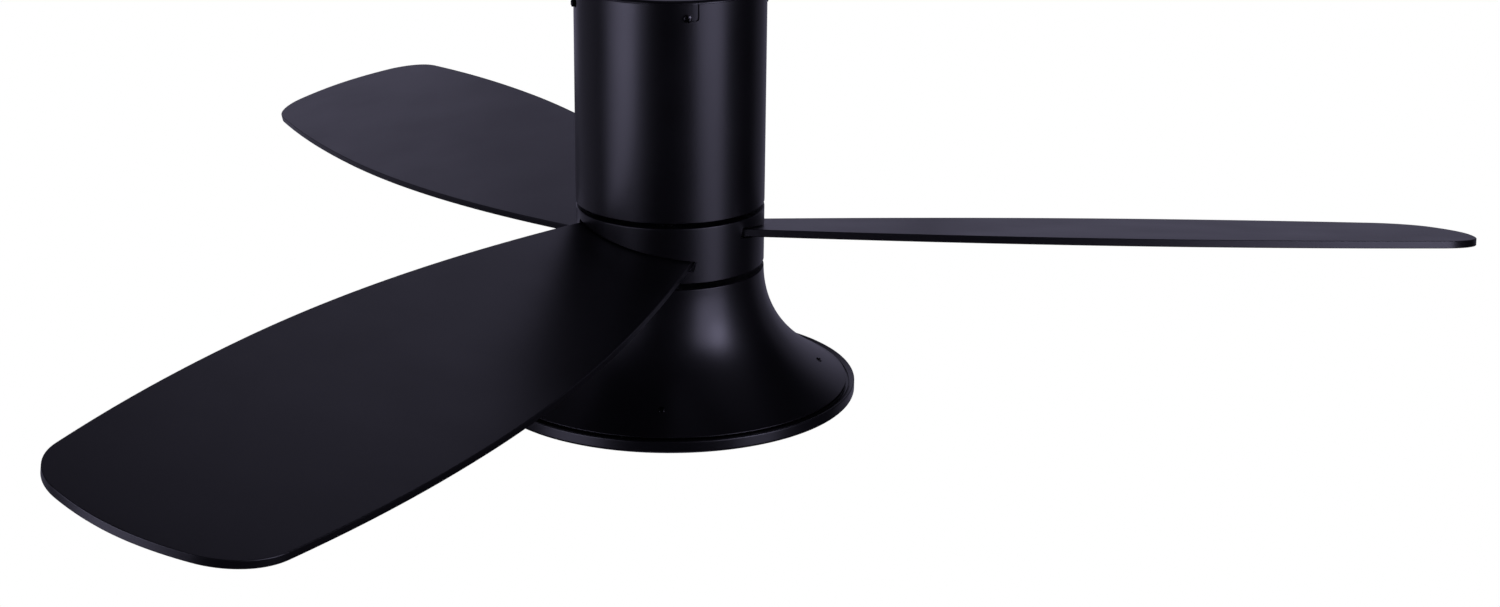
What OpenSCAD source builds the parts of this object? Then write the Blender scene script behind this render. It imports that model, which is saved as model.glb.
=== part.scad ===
// Flush-mount ceiling fan with a built-in LED light, three blades.
// Origin: on the fan's axis in the ceiling plane. +Z up, so the fan hangs below z = 0.
// Heights written as "_h" in a piece are measured from the housing's lower rim (rim_z).

/* [Overall] */
// Circle swept by the blade tips
sweep_d = 1320.8; // [1200:0.1:1400]
// Outer diameter of the cylindrical housing
housing_d = 153.2; // [150:0.2:160]
// Height of the cylindrical housing
housing_h = 172.8; // [165:0.1:185]
// Gap between the ceiling and the housing's top rim
ceiling_gap = 2.2; // [2:0.1:6]
// Sheet thickness of housing and hub band
sheet = 1.2; // [0.8:0.1:1.4]
// Gap between the housing and the turning hub band
seam_top = 4.0; // [3:0.1:5]
// Height of the turning hub band
band_h = 45.4; // [44:0.1:48]
// Gap between the hub band and the light's bell
seam_low = 5.0; // [4:0.1:6]

/* [Blades] */
// Direction of the first blade, counterclockwise from +X
blade_turn = 1.4; // [0:0.1:3]
// Blade thickness
blade_t = 6; // [5:0.1:6.5]
// Twist of each blade about its own length
blade_pitch = 11.4; // [10:0.1:12]
// Droop of each blade towards its tip
blade_droop = 0.97; // [0.5:0.01:1.2]
// Depth of the blade plane at the axis, below the housing's lower rim
blade_drop = 24.2; // [23:0.1:25]
// Half of the blade's greatest width
blade_half = 100.2; // [90:0.1:105]
// Radius at which the blade is widest
blade_wide_r = 420; // [400:1:440]
// Radius of the blade's inner end
root_r = 36; // [34:1:40]

/* [Light] */
// Height of the flared bell
bell_h = 96.8; // [95:0.1:105]
// Diameter of the bell's lower edge
bell_d = 293.6; // [280:1:300]
// Outer diameter of the trim ring
ring_d = 306.8; // [304:0.2:310]
// Height of the trim ring
ring_h = 10; // [8:0.1:11]
// Direction of the first bell screw
bell_screw_turn = -3; // [-6:0.5:0]
// Drop of the diffuser's middle below the trim ring
lens_drop = 5; // [3:0.5:12]

/* [Motor] */
// Outer radius of the stator
stator_r = 52; // [50:0.5:52]
// Number of stator teeth and coils
teeth = 12; // [9:3:12]
// Number of rotor magnets
magnets_n = 16; // [12:2:16]

/* [Fasteners] */
// Shank radius of the four housing screws
housing_screw_r = 2.0; // [1.8:0.1:2.2]
// Direction of the first housing screw
housing_screw_turn = -80.3; // [-85:0.1:-75]
// Distance between the two screws of a large outlet box
box_wide = 89; // [88:0.5:90]
// Distance between the two screws of a small outlet box
box_narrow = 70; // [69:0.5:71]
// Half-width of the ceiling plate's slots
box_slot_r = 2.6; // [2.4:0.1:2.8]

/* [Hidden] */
$fn = 96;

black = "#1d1c20";
steel = "#a9abb0";
zinc = "#c3c6ca";
copper = "#b5713a";

blades = 3;
fit_gap = 0.05;
part_gap = 0.3;
housing_r = housing_d / 2;
housing_in_r = housing_r - sheet;
rim_z = -(ceiling_gap + housing_h);
band_top_h = -seam_top;
band_low_h = band_top_h - band_h;
bell_top_h = band_low_h - seam_low;
bell_low_h = bell_top_h - bell_h;
bell_r = bell_d / 2;
ring_r = ring_d / 2;
ring_top_h = bell_low_h - 0.6;
ring_low_h = ring_top_h - ring_h;

// ceiling plate and yoke
plate_t = 1.8;
skirt_r = housing_in_r - part_gap;
skirt_depth = 24;
wire_hole_r = 20;
screw_z = -13.1;
ground_at = [24, -32];
yoke_hole = [60, 10];
yoke_hole_r = 2.6;
yoke_x = 48.5;
yoke_t = 2.5;
yoke_foot = 20;
yoke_w = 36;
web_top_h = 100;

// shaft and motor stack, heights above the housing's lower rim
shaft_r = 10;
shaft_bore_r = 6.5;
shaft_top_h = 112;
shaft_low_h = -72;
seat_r = 14;
seat_low_h = 21;
seat_top_h = 61;
core_low_h = 28;
core_top_h = 54;
bearing_r = 21;
bearing_w = 12;
ball_r = 3.1;
ball_ring_r = 15.5;
balls = 9;
inner_race_r = 13.6;
outer_race_r = 17.4;
lead_hole_h = 57.7;
split_pin_h = 109.5;
rotor_in_r = 57.2;
rotor_out_r = 61;
cover_r = 70;
cover_t = 3.5;
cover_bolt_r = 65.5;
carrier_top_h = -5.5;
carrier_t = 4.5;
carrier_boss_r = 52;
carrier_hole_r = 2.55;
band_screw_ring = 67;

// blade fixing, in the blade's own frame: [along the blade, across it]
blade_holes = [[45, 0], [60, -24], [60, 24]];
blade_hole_r = 2.75;
clamp_t = 2.5;
slot_half = 53.8;
slot_room = 1.4;

// light
bracket_top_h = bell_top_h - 1.5;
bracket_t = 2;
bracket_screw_ring = 66;
bell_wall = 1.5;
bell_screw_at = 0.78;
tray_top_h = bell_low_h + 2;
tray_t = 1.5;
tray_r = 138;
tray_screw_ring = 143.4;
board_t = 1.6;
lip_top_h = bell_low_h - 3.4;
ring_dish = 1.6;
lip_t = 1.5;
neck_r = 134;
lens_lug_span = 12;
lens_tab_span = 16;

// ---------- helpers ----------

module from_rim(h) translate([0, 0, rim_z + h]) children();

// ring or disc from height a to height b
module ring_between(a, b, outer, inner = 0) {
    from_rim(min(a, b)) difference() {
        cylinder(r = outer, h = abs(b - a));
        if (inner > 0) translate([0, 0, -1]) cylinder(r = inner, h = abs(b - a) + 2);
    }
}

module around(n, start = 0) for (i = [0:n - 1]) rotate([0, 0, start + i * 360 / n]) children();

// places its children in the frame of blade number i: x along the blade, y across, z along its normal
module in_blade_frame(i)
    rotate([0, 0, blade_turn + i * 360 / blades])
        from_rim(-blade_drop)
            rotate([0, blade_droop, 0])
                rotate([-blade_pitch, 0, 0])
                    children();

module slot_through(half_length, r, h, along_y = false) {
    rotate([0, 0, along_y ? 90 : 0]) {
        for (s = [-1, 1]) translate([s * (half_length - r), 0, 0]) cylinder(r = r, h = h);
        translate([-(half_length - r), -r, 0]) cube([2 * (half_length - r), 2 * r, h]);
    }
}

// a tall wedge about +X that is span degrees wide
module sector(span) {
    reach = 200;
    half = reach * tan(span / 2);
    linear_extrude(2000, center = true) polygon([[0, 0], [reach, -half], [reach, half]]);
}

function bezier(p, t) =
    pow(1 - t, 3) * p[0] + 3 * pow(1 - t, 2) * t * p[1] + 3 * (1 - t) * t * t * p[2] + pow(t, 3) * p[3];
function bezier_row(p, n) = [for (i = [0:n - 1]) bezier(p, i / n)];
function unit(v) = v / norm(v);

// smooth line through a route's points
function between(a, b, c, d, t) =
    0.5 * (2 * b + (c - a) * t + (2 * a - 5 * b + 4 * c - d) * t * t + (3 * b - a - 3 * c + d) * t * t * t);
function smooth(p, n) = let (last = len(p) - 1) [
    for (i = [0:last - 1], j = [0:n - 1])
        between(p[max(i - 1, 0)], p[i], p[i + 1], p[min(i + 2, last)], j / n),
    p[last]];

// a wire: one tube with eight sides that follows a route
module wire(route, r, steps = 4) {
    line = smooth(route, steps);
    last = len(line) - 1;
    sides = 8;
    ends = len(route) - 1;
    along = [for (i = [0:last])
        unit(i == 0 ? route[1] - route[0]
             : i == last ? route[ends] - route[ends - 1]
             : line[i + 1] - line[i - 1])];
    across = [for (i = 0, a = unit(cross(along[0], [0.31, 0.87, 0.22])); i <= last;
        i = i + 1, a = i <= last ? unit(a - (a * along[i]) * along[i]) : a) a];
    points = [for (i = [0:last], k = [0:sides - 1])
        let (w = k * 360 / sides)
        line[i] + r * (cos(w) * across[i] + sin(w) * cross(along[i], across[i]))];
    skin = [for (i = [0:last - 1], k = [0:sides - 1])
        let (a = i * sides + k, b = i * sides + (k + 1) % sides)
        each [[a, a + sides, b], [b, a + sides, b + sides]]];
    polyhedron(points, concat(skin, [[for (k = [0:sides - 1]) k]],
        [[for (k = [sides - 1:-1:0]) last * sides + k]]), convexity = 6);
}

// pan-head screw: head above z = 0, shank below
module screw(r, length, head_r, head_h) {
    cylinder(r = head_r, h = head_h);
    translate([0, 0, -length]) cylinder(r = r, h = length);
}

// ---------- ceiling plate and yoke ----------

module at_yoke_holes() for (x = [-1, 1], y = [-1, 1])
    translate([x * yoke_hole[0], y * yoke_hole[1], 0]) children();

module ceiling_plate() color(black) difference() {
    rotate_extrude() polygon(concat(
        [[0, 0]],
        [for (a = [90:-15:0]) [skirt_r - 3 + 3 * cos(a), -3 + 3 * sin(a)]],
        [[skirt_r, -skirt_depth], [skirt_r - sheet, -skirt_depth]],
        [for (a = [0:15:90]) [skirt_r - 2.4 + 1.2 * cos(a), -3 + 1.2 * sin(a)]],
        [[0, -plate_t]]));
    translate([0, 0, -plate_t - 1]) cylinder(r = wire_hole_r, h = plate_t + 2);
    for (s = [-1, 1]) {
        translate([0, s * box_wide / 2, -plate_t - 1]) slot_through(7, box_slot_r, plate_t + 2, true);
        translate([s * box_narrow / 2, 0, -plate_t - 1]) slot_through(5, box_slot_r, plate_t + 2);
    }
    at_yoke_holes() {
        translate([0, 0, -plate_t - 1]) cylinder(r = yoke_hole_r, h = plate_t + 2);
        translate([0, 0, -1]) cylinder(r = 4.6, h = 2);
    }
    translate([ground_at[0], ground_at[1], -plate_t - 1]) cylinder(r = 2.05, h = plate_t + 2);
    around(4, housing_screw_turn) translate([skirt_r - 6, 0, screw_z])
        rotate([0, 90, 0]) cylinder(r = housing_screw_r + fit_gap, h = 12);
}

module motor_yoke() color(steel) difference() {
    union() {
        for (s = [-1, 1]) {
            translate([s > 0 ? yoke_x - yoke_t : -yoke_x - yoke_foot, -yoke_w / 2, -plate_t - yoke_t])
                cube([yoke_foot + yoke_t, yoke_w, yoke_t]);
            translate([s > 0 ? yoke_x - yoke_t : -yoke_x, -yoke_w / 2, rim_z + web_top_h - 3])
                cube([yoke_t, yoke_w, -plate_t - yoke_t - rim_z - web_top_h + 3]);
        }
        translate([-yoke_x + yoke_t, -yoke_w / 2, rim_z + web_top_h - 3])
            cube([2 * (yoke_x - yoke_t), yoke_w, 3]);
    }
    from_rim(web_top_h - 4) cylinder(r = shaft_r + fit_gap, h = 5);
    at_yoke_holes() translate([0, 0, -plate_t - yoke_t - 1]) cylinder(r = yoke_hole_r, h = yoke_t + 2);
}

module yoke_bolts() color(zinc) at_yoke_holes() {
    translate([0, 0, -14]) cylinder(r = 2.5, h = 13.2);
    translate([0, 0, -0.9]) cylinder(r = 4.5, h = 0.8);
    difference() {
        translate([0, 0, -plate_t - yoke_t - 4]) cylinder(r = 4.6, h = 4, $fn = 6);
        translate([0, 0, -plate_t - yoke_t - 5]) cylinder(r = 2.5, h = 6);
    }
}

module ground_screw() color("#3c8f4c") translate([ground_at[0], ground_at[1], -plate_t]) rotate([180, 0, 0]) {
    cylinder(r = 4.5, h = 3, $fn = 6);
    translate([0, 0, -plate_t + 0.3]) cylinder(r = 2, h = plate_t - 0.3);
}

// ---------- housing ----------

// L-shaped slot in the rim: the leg lets the screw in, the foot leads back to the screw
module bayonet_slot() {
    half = 2.5;
    step = 5;
    foot = housing_r * sin(step);
    rotate([0, 0, step]) translate([housing_r - 4, 0, screw_z]) rotate([90, 0, 90])
        linear_extrude(8) polygon(concat(
            [[-half, 20], [half, 20]],
            [for (a = [0:15:90]) [half * cos(a), -half * sin(a)]],
            [for (a = [90:15:270]) [-foot + half * cos(a), -half * sin(a)]],
            [[-half, half]]));
}

module housing() color(black) difference() {
    ring_between(0, housing_h, housing_r, housing_in_r);
    around(4, housing_screw_turn) bayonet_slot();
}

module housing_screws() color(black) around(4, housing_screw_turn)
    translate([housing_r + 0.2, 0, screw_z]) rotate([0, 90, 0]) difference() {
        screw(housing_screw_r, 10, 3.1, 2.6);
        for (a = [0, 90]) rotate([0, 0, a]) translate([-2, -0.4, 1.4]) cube([4, 0.8, 2]);
    }

// ---------- shaft and stator ----------

module motor_shaft() color(zinc) difference() {
    union() {
        ring_between(shaft_low_h, shaft_top_h, shaft_r);
        ring_between(seat_low_h, seat_top_h, seat_r);
        ring_between(web_top_h - 8, web_top_h - 3, 17);
    }
    from_rim(shaft_low_h - 1) cylinder(r = shaft_bore_r, h = shaft_top_h - shaft_low_h + 2);
    from_rim(lead_hole_h) rotate([0, 90, 0]) cylinder(r = 2.3, h = 30);
    from_rim(split_pin_h) rotate([90, 0, 0]) translate([0, 0, -20]) cylinder(r = 1.3, h = 40);
}

module hex_nut(h, hole) difference() {
    cylinder(r = 17, h = h, $fn = 6);
    translate([0, 0, -1]) cylinder(r = hole, h = h + 2);
}

module shaft_nuts() color(steel) {
    from_rim(web_top_h) hex_nut(6.5, shaft_r + fit_gap);
    from_rim(bracket_top_h) hex_nut(5, shaft_r + fit_gap);
    from_rim(bracket_top_h - bracket_t - 7) hex_nut(7, shaft_r + fit_gap);
}

module shaft_split_pin() color(zinc) from_rim(split_pin_h) rotate([90, 0, 0]) {
    for (s = [-1, 1]) translate([0, 0, s > 0 ? shaft_bore_r + 0.1 : -14])
        cylinder(r = 1.2, h = 14 - shaft_bore_r - 0.1);
    for (s = [-1, 1]) translate([0, 0, s * 14 - (s > 0 ? 0 : 1.5)]) cylinder(r = 2.6, h = 1.5);
}

module stator_core() color(steel) from_rim(core_low_h) linear_extrude(core_top_h - core_low_h)
    difference() {
        union() {
            circle(r = 30);
            around(teeth) {
                translate([28, -4.5]) square([20, 9]);
                intersection() {
                    difference() {
                        circle(r = stator_r);
                        circle(r = stator_r - 4.5);
                    }
                    polygon([[0, 0], [80, -16], [80, 16]]);
                }
            }
        }
        circle(r = seat_r + fit_gap);
    }

module stator_windings() color(copper) around(teeth)
    from_rim((core_low_h + core_top_h) / 2) difference() {
        translate([32.5, -8, -17]) cube([14, 16, 34]);
        translate([32, -4.8, -13.3]) cube([15, 9.6, 26.6]);
    }

// ---------- bearings ----------

module bearing_race(h, inner, outer, groove) color(zinc) difference() {
    ring_between(h, h + bearing_w, outer, inner);
    from_rim(h + bearing_w / 2) rotate_extrude()
        translate([ball_ring_r, 0]) circle(r = groove, $fn = 48);
}

module inner_race(h) bearing_race(h, shaft_r + fit_gap, inner_race_r, ball_r + fit_gap);
module outer_race(h) bearing_race(h, outer_race_r, bearing_r, ball_r + fit_gap);

module ball_set(h) color(steel) from_rim(h + bearing_w / 2) around(balls)
    translate([ball_ring_r, 0, 0]) sphere(r = ball_r, $fn = 32);

module ball_cage(h) color("#a8843c") difference() {
    ring_between(h + bearing_w / 2 - 4.3, h + bearing_w / 2 + 4.3, 16.1, 14.9);
    from_rim(h + bearing_w / 2) around(balls) rotate([0, 90, 0]) cylinder(r = ball_r + 0.2, h = 20);
}

module upper_bearing_inner_race() inner_race(seat_top_h);
module upper_bearing_balls() ball_set(seat_top_h);
module upper_bearing_cage() ball_cage(seat_top_h);
module upper_bearing_outer_race() outer_race(seat_top_h);
module lower_bearing_inner_race() inner_race(seat_low_h - bearing_w);
module lower_bearing_balls() ball_set(seat_low_h - bearing_w);
module lower_bearing_cage() ball_cage(seat_low_h - bearing_w);
module lower_bearing_outer_race() outer_race(seat_low_h - bearing_w);

// ---------- rotor ----------

// end cover: a plate whose underside is at plate_h, with a boss around the bearing at seat_h
module end_cover(plate_h, boss_low_h, boss_top_h, seat_h) color(steel) difference() {
    union() {
        ring_between(plate_h, plate_h + cover_t, cover_r);
        ring_between(boss_low_h, boss_top_h, 27);
    }
    from_rim(boss_low_h - 1) cylinder(r = 17.6, h = boss_top_h - boss_low_h + 2);
    ring_between(seat_h, seat_h + bearing_w, bearing_r + fit_gap);
    around(6, 30) translate([cover_bolt_r, 0, rim_z + plate_h - 1]) cylinder(r = 2.1, h = cover_t + 2);
    around(8) translate([43, 0, rim_z + plate_h - 1]) cylinder(r = 6, h = cover_t + 2);
}

module rotor_top_cover() end_cover(60, 60, 76, seat_top_h);

module rotor_bottom_cover() difference() {
    end_cover(18.5, 6, 22, seat_low_h - bearing_w);
    color(steel) around(6) translate([carrier_boss_r, 0, rim_z + 15]) cylinder(r = 2.1, h = 10);
}

module rotor_ring() color(zinc) ring_between(22, 60, rotor_out_r, rotor_in_r);

module rotor_magnets() color("#4b4d55") around(magnets_n) from_rim(26)
    linear_extrude(30) intersection() {
        difference() {
            circle(r = rotor_in_r - fit_gap);
            circle(r = stator_r + 1.2);
        }
        polygon([[0, 0], [80, -80 * tan(10)], [80, 80 * tan(10)]]);
    }

module rotor_bolts() color(zinc) around(6, 30) translate([cover_bolt_r, 0, rim_z]) {
    translate([0, 0, 63.5]) screw(2, 50, 3.8, 2.6);
    translate([0, 0, 15.3]) difference() {
        cylinder(r = 4, h = 3.2, $fn = 6);
        translate([0, 0, -1]) cylinder(r = 2, h = 6);
    }
}

// ---------- hub ----------

// everything on the upper side of a blade's top face, out to the carrier's edge
module above_blade(i) in_blade_frame(i) translate([-60, -90, blade_t / 2]) cube([180, 180, 60]);

module carrier_pad(i) intersection() {
    above_blade(i);
    rotate([0, 0, blade_turn + i * 360 / blades])
        translate([root_r, -36, rim_z - 40]) cube([66 - root_r, 72, 40 + carrier_top_h - 1]);
    from_rim(-60) cylinder(r = 72, h = 60);
}

module blade_carrier() color(steel) difference() {
    union() {
        ring_between(carrier_top_h - carrier_t, carrier_top_h, 73, 30);
        around(6) translate([carrier_boss_r, 0, rim_z + carrier_top_h - 0.5])
            cylinder(r = 6.5, h = 18.5 - carrier_top_h + 0.5);
        for (i = [0:blades - 1]) carrier_pad(i);
    }
    around(6) translate([carrier_boss_r, 0, rim_z - 60]) {
        cylinder(r = carrier_hole_r, h = 100);
        cylinder(r = 4.6, h = 60 + carrier_top_h - 1.4);
    }
    for (i = [0:blades - 1], p = blade_holes) in_blade_frame(i) translate([p[0], p[1], 0])
        cylinder(r = carrier_hole_r, h = 12);
    around(6, 30) translate([band_screw_ring, 0, rim_z + carrier_top_h - 4]) cylinder(r = 1.55, h = 5);
}

module carrier_screws() color(zinc) around(6) translate([carrier_boss_r, 0, rim_z + carrier_top_h - 1.4])
    rotate([180, 0, 0]) screw(2, 24, 4.4, 2.6);

module hub_band() color(black) difference() {
    union() {
        ring_between(band_low_h, band_top_h, housing_r, housing_r - 1.4);
        ring_between(carrier_top_h, band_top_h, housing_r - 0.7, 62);
    }
    for (i = [0:blades - 1]) in_blade_frame(i)
        translate([30, -slot_half, -blade_t / 2 - slot_room])
            cube([60, 2 * slot_half, blade_t + 2 * slot_room]);
    around(6, 30) translate([band_screw_ring, 0, rim_z + carrier_top_h - 1]) cylinder(r = 1.7, h = 4);
}

module band_screws() color(black) around(6, 30) translate([band_screw_ring, 0, rim_z + band_top_h])
    screw(1.5, 5, 2.8, 1.6);

// half outline of a blade, from its inner end to its tip: [along, half-width]
function blade_side() = let (tip = sweep_d / 2, wide = blade_half) concat(
    [[root_r, 41], [root_r + 1.2, 44], [root_r + 4, 46]],
    bezier_row([[root_r + 8, 47.2], [165, 78], [290, wide], [blade_wide_r, wide]], 16),
    bezier_row([[blade_wide_r, wide], [500, wide], [560, wide * 0.944], [612, wide * 0.874]], 10),
    bezier_row([[612, wide * 0.874], [633, 84.8], [tip - 12.4, 68], [tip - 7.4, 50]], 8),
    bezier_row([[tip - 7.4, 50], [tip - 3.4, 36], [tip, 18], [tip, 0]], 6));

module blade(i) color(black) in_blade_frame(i) difference() {
    translate([0, 0, -blade_t / 2]) linear_extrude(blade_t) {
        side = blade_side();
        back = [for (k = [len(side) - 1:-1:0]) [side[k][0], -side[k][1]]];
        polygon(concat(side, [[sweep_d / 2, 0]], back));
    }
    for (p = blade_holes) translate([p[0], p[1], -blade_t]) cylinder(r = blade_hole_r, h = 2 * blade_t);
}

module blade_1() blade(0);
module blade_2() blade(1);
module blade_3() blade(2);

module blade_clamp_plates() color(zinc) for (i = [0:blades - 1]) in_blade_frame(i) difference() {
    translate([39, -33, -blade_t / 2 - clamp_t]) cube([28, 66, clamp_t]);
    for (p = blade_holes) translate([p[0], p[1], -20]) cylinder(r = blade_hole_r, h = 30);
}

module blade_screws() color(black) for (i = [0:blades - 1], p = blade_holes) in_blade_frame(i)
    translate([p[0], p[1], -blade_t / 2 - clamp_t]) rotate([180, 0, 0])
        screw(2.5, blade_t + clamp_t + 5, 4.6, 3);

// ---------- receiver and wiring in the housing ----------

receiver = [88, 34, 24];
receiver_z = -50;
receiver_wall = 1.6;

module receiver_case() color("#303238") difference() {
    translate([-receiver[0] / 2, -receiver[1] / 2, receiver_z])
        cube([receiver[0], receiver[1], receiver[2] - 2]);
    translate([-receiver[0] / 2 + receiver_wall, -receiver[1] / 2 + receiver_wall,
               receiver_z + receiver_wall])
        cube([receiver[0] - 2 * receiver_wall, receiver[1] - 2 * receiver_wall, receiver[2]]);
}

module receiver_lid() color("#303238")
    translate([-receiver[0] / 2, -receiver[1] / 2, receiver_z + receiver[2] - 2])
        cube([receiver[0], receiver[1], 2]);

module receiver_board() color("#2f6b3f") {
    translate([-41, -14, receiver_z + 6]) cube([82, 28, board_t]);
    for (x = [-30, -10, 12, 30]) translate([x - 5, -8, receiver_z + 6 + board_t]) cube([10, 14, 10]);
}

module supply_leads() for (k = [0:2]) color(["#18181a", "#e8e8e6", "#3c8f4c"][k])
    translate([(k - 1) * 14, 0, 0])
        wire([[0, 17.1, -38], [0, 20, -38], [0, 24, -35], [0, 26, -28], [0, 26, -24], [0, 26, -20]], 1.4);

module wire_nuts() color("#c98a2a") for (k = [-1:1]) translate([k * 14, 26, -22]) rotate_extrude()
    polygon([[1.5, 0], [5.2, 0], [4.6, 6], [3.4, 16], [0, 16], [0, 3], [1.5, 3]]);

module motor_leads() color("#5a5c64")
    wire([[10, -17.1, -44], [10, -20, -44], [9, -24, -49], [6, -18, -57], [3.6, -7, -59],
          [3.2, -1, -62], [3.2, 0, -68], [3.2, 0, -90], [3.2, 0, -108], [4.4, 0, -115],
          [8, 0, rim_z + lead_hole_h], [14, 0, rim_z + lead_hole_h], [20, 0, rim_z + lead_hole_h]], 1.4);

module light_harness() color("#202024")
    wire([[-10, -17.1, -44], [-10, -20, -44], [-9, -24, -49], [-6, -18, -57], [-3, -7, -59],
          [-2.6, -1, -62], [-2.6, 0, -70], [-2.6, 0, -110], [-2.6, 0, -160], [-2.6, 0, -210],
          [-2.6, 0, -244], [-4, 0, -254], [-6, 0, -260], [-6, 0, -263.9]], 2.2, 3);

module harness_plug() color("#e9e7df") translate([-12, -5, -276]) cube([12, 10, 12]);

module harness_socket() color("#e9e7df") difference() {
    translate([-13, -6, -284]) cube([14, 12, 14]);
    translate([-12 - 0.1, -5 - 0.1, -276]) cube([12.2, 10.2, 12]);
}

// ---------- light ----------

module light_bracket() color(zinc) difference() {
    ring_between(bracket_top_h - bracket_t, bracket_top_h, 73.5, shaft_r + fit_gap);
    around(4, 45) translate([bracket_screw_ring, 0, rim_z + bracket_top_h - bracket_t - 1])
        cylinder(r = 2.1, h = 4);
    around(4) translate([42, 0, rim_z + bracket_top_h - bracket_t - 1]) cylinder(r = 9, h = 4);
}

module bracket_screws() color(zinc) around(4, 45)
    translate([bracket_screw_ring, 0, rim_z + bracket_top_h - bracket_t]) rotate([180, 0, 0])
        screw(2, 3.2, 3.8, 2.4);

bell_curve = [[housing_r, bell_top_h], [housing_r + 0.4, bell_top_h - 50.2],
              [bell_r - 35.8, bell_low_h + 20.1], [bell_r, bell_low_h]];
function bell_slope(t) = unit(bezier(bell_curve, min(t + 0.01, 1)) - bezier(bell_curve, max(t - 0.01, 0)));
// a point on the bell's outer curve, moved inwards by d
function bell_point(t, d) = let (s = bell_slope(t)) bezier(bell_curve, t) + d * [s[1], -s[0]];

module bell_shape() {
    n = 28;
    polygon(concat(
        [for (i = [0:n]) bell_point(i / n, 0)],
        [for (i = [n:-1:1]) bell_point(i / n, bell_wall)],
        [[housing_r - bell_wall, bell_top_h - bell_wall], [58, bell_top_h - bell_wall],
         [58, bell_top_h]]));
}

// places its children on the bell's skin, z along the outward normal
module on_bell(t) {
    p = bell_point(t, 0);
    s = bell_slope(t);
    translate([p[0], 0, rim_z + p[1]]) rotate([0, atan2(-s[1], s[0]), 0]) children();
}

module light_bell() color(black) difference() {
    translate([0, 0, rim_z]) rotate_extrude($fn = 180) bell_shape();
    around(4, bell_screw_turn) on_bell(bell_screw_at) translate([0, 0, -6]) cylinder(r = 1.7, h = 8);
    around(4, 45) translate([bracket_screw_ring, 0, rim_z + bell_top_h - 3]) cylinder(r = 2.1, h = 5);
}

module bell_screws() color(black) around(4, bell_screw_turn) on_bell(bell_screw_at)
        translate([0, 0, 0.1]) difference() {
    screw(1.5, 8, 2.6, 1.0);
    for (a = [0, 90]) rotate([0, 0, a]) translate([-1.6, -0.3, 0.4]) cube([3.2, 0.6, 1]);
}

module led_tray() color(black) difference() {
    union() {
        ring_between(tray_top_h - tray_t, tray_top_h, tray_r);
        ring_between(lip_top_h, tray_top_h, tray_r, tray_r - 1.5);
        ring_between(lip_top_h, lip_top_h + 1.2, 146, tray_r - 1.5);
        around(3, 60) intersection() {
            ring_between(lip_top_h + 0.3, lip_top_h + 1.6, tray_r - 1, neck_r + 0.6);
            sector(lens_tab_span);
        }
        around(4, bell_screw_turn) intersection() {
            on_bell(bell_screw_at) translate([-6, -6, -bell_wall - 0.1 - 12]) cube([12, 12, 12]);
            from_rim(tray_top_h - 0.5) translate([90, -10, 0]) cube([60, 20, 40]);
        }
    }
    around(4, bell_screw_turn) on_bell(bell_screw_at) translate([0, 0, -10]) cylinder(r = 1.55, h = 12);
    translate([0, -20, rim_z + tray_top_h - 3]) cylinder(r = 6, h = 5);
    around(6, 15) translate([tray_screw_ring, 0, rim_z + lip_top_h - 1]) cylinder(r = 1.3, h = 4);
}

module led_board() color("#f2f2ee")
    ring_between(tray_top_h - tray_t - board_t, tray_top_h - tray_t, 126, 30);

// rings of LEDs under the board: [radius, number]
module led_chips() color("#f6e27a")
    for (ring = [[52, 12], [82, 20], [112, 28]]) around(ring[1])
        translate([ring[0], 0, rim_z + tray_top_h - tray_t - board_t - 0.5]) cube([5, 5, 1], center = true);

module led_driver() color("#e4e4e0") from_rim(tray_top_h) translate([-50, 16, 0]) cube([100, 44, 26]);

module driver_leads() color("#202024") {
    wire([[-6, 0, -284.1], [-6, 0, -288], [-7, 3, -298], [-10, 12, -308], [-10, 15.9, -308]], 2);
    wire([[10, 15.9, -313], [10, 12, -313], [5, 0, -313], [1, -14, -315], [0, -20, -319.6],
          [0, -20.5, -324.6], [0, -26, -328.8], [0, -33, -328.8]], 1.2);
}

module ring_shape() {
    top = ring_top_h;
    low = ring_low_h;
    inner = bell_r + 1.9;
    polygon(concat(
        [[inner, low + 0.6], [inner + 0.6, low], [ring_r - 2.4, low]],
        [for (a = [-75:15:0]) [ring_r - 2.4 + 2.4 * cos(a), low + 2.4 + 2.4 * sin(a)]],
        [for (a = [0:15:90]) [ring_r - 1 + cos(a), top - 1 + sin(a)]],
        [[inner + 0.4, top - ring_dish], [inner, top - ring_dish - 0.4], [inner, lip_top_h],
         [tray_r + 1, lip_top_h], [tray_r + 1, lip_top_h - lip_t], [inner, lip_top_h - lip_t]]));
}

module trim_ring() color(black) difference() {
    translate([0, 0, rim_z]) rotate_extrude($fn = 180) ring_shape();
    around(6, 15) translate([tray_screw_ring, 0, rim_z + lip_top_h - 3]) cylinder(r = 1.7, h = 5);
}

module tray_screws() color(zinc) around(6, 15) translate([tray_screw_ring, 0, rim_z + lip_top_h - lip_t])
    rotate([180, 0, 0]) screw(1.25, 2.6, 2.6, 1.4);

// dome of the diffuser: depth below the trim ring at radius r
lens_r = bell_r + 1.2;
function lens_low(r) = ring_low_h - lens_drop + (lens_drop + 0.2) * pow(r / lens_r, 2.6);

module diffuser() color("#f4f3ee") {
    wall = 1.8;
    flange_h = ring_low_h + 1.7;
    neck_top_h = lip_top_h + 3.2;
    translate([0, 0, rim_z]) rotate_extrude($fn = 180) polygon(concat(
        [for (i = [0:10]) let (r = lens_r * i / 10) [r, lens_low(r)]],
        [[lens_r, flange_h], [neck_r, flange_h], [neck_r, neck_top_h], [neck_r - 2, neck_top_h],
         [neck_r - 2, lens_low(neck_r - 2) + wall]],
        [for (i = [9:-1:0]) let (r = lens_r * i / 10) [r, lens_low(r) + wall]]));
    around(3, 60) intersection() {
        ring_between(neck_top_h - 1.2, neck_top_h, tray_r - 1.9, neck_r - 0.5);
        sector(lens_lug_span);
    }
}

// ---------- drawing ----------

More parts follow.
